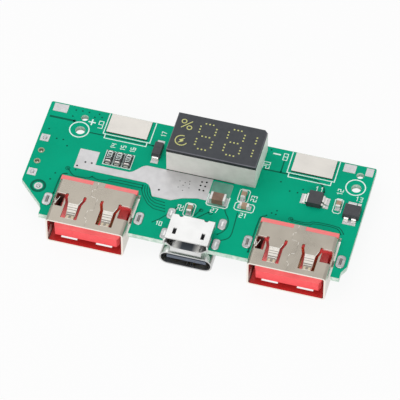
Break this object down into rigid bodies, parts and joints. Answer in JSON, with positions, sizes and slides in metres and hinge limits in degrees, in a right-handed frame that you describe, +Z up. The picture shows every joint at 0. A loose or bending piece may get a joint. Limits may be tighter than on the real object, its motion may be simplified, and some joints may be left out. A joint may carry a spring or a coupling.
{
  "type": "charging module",
  "caption": "Circuit board that charges a battery and powers devices, with power sockets along its front edge, a display of digits and battery plates along its back edge.",
  "frame": {"origin": "Centre of the outer box in plan, on the plane that the module rests on with its socket side down to the surface.", "axes": "X runs along the board's length, Y from the socket openings to the battery plates, Z up through the display's face."},
  "size_m": [0.057, 0.026, 0.0096],
  "materials": {
    "board_mask": "satin green mask over a glass fibre board",
    "tin": "bright tinned copper",
    "plate_metal": "tinned plate",
    "solder": "bright solder",
    "socket_steel": "nickel plated steel sheet",
    "small_socket_steel": "bright plated steel sheet",
    "red_plastic": "coral red, satin",
    "black_plastic": "black, satin",
    "contact_metal": "gold flashed",
    "display_case": "pale grey",
    "display_face": "dark, satin",
    "display_light": "yellow green light openings",
    "ceramic_brown": "matt brown",
    "ceramic_black": "satin black",
    "moulded_black": "black moulding, satin",
    "ferrite": "matt dark grey",
    "lead_metal": "tinned lead"
  },
  "bodies": {
    "root": {"battery_plate_left": "plate_metal", "battery_plate_right": "plate_metal", "battery_switch_body": "moulded_black", "battery_switch_leads": "lead_metal", "capacitor_behind_small_socket": "ceramic_brown", "capacitor_beside_switch": "ceramic_brown", "capacitor_caps": "tin", "capacitor_large": "ceramic_brown", "capacitor_level": "ceramic_brown", "capacitor_upright": "ceramic_brown", "circuit_board": "board_mask", "coil_body": "ferrite", "coil_terminals": "tin", "controller_body": "moulded_black", "controller_leads": "lead_metal", "diode_body": "moulded_black", "diode_leads": "lead_metal", "display_body": "display_case", "display_cap": "display_face", "display_lenses": "display_light", "display_pin_solder": "solder", "display_pins": "lead_metal", "guard_chip_body": "moulded_black", "guard_chip_leads": "lead_metal", "heat_area": "tin", "lamp_barrels": "tin", "large_socket_left_contacts": "contact_metal", "large_socket_left_insert": "red_plastic", "large_socket_left_shell": "socket_steel", "large_socket_right_contacts": "contact_metal", "large_socket_right_insert": "red_plastic", "large_socket_right_shell": "socket_steel", "large_socket_solder": "solder", "micro_socket_contacts": "contact_metal", "micro_socket_insert": "black_plastic", "micro_socket_shell": "small_socket_steel", "oval_socket_contacts": "contact_metal", "oval_socket_insert": "black_plastic", "oval_socket_shell": "small_socket_steel", "oval_socket_solder": "solder", "part_lands": "tin", "resistor_1": "ceramic_black", "resistor_2": "ceramic_black", "resistor_3": "ceramic_black", "resistor_caps": "tin", "solder_lands": "tin", "solder_plugs": "solder", "under_capacitor_1": "ceramic_brown", "under_capacitor_2": "ceramic_brown", "under_capacitor_caps": "tin", "under_lands": "tin"}
  },
  "joints": []
}
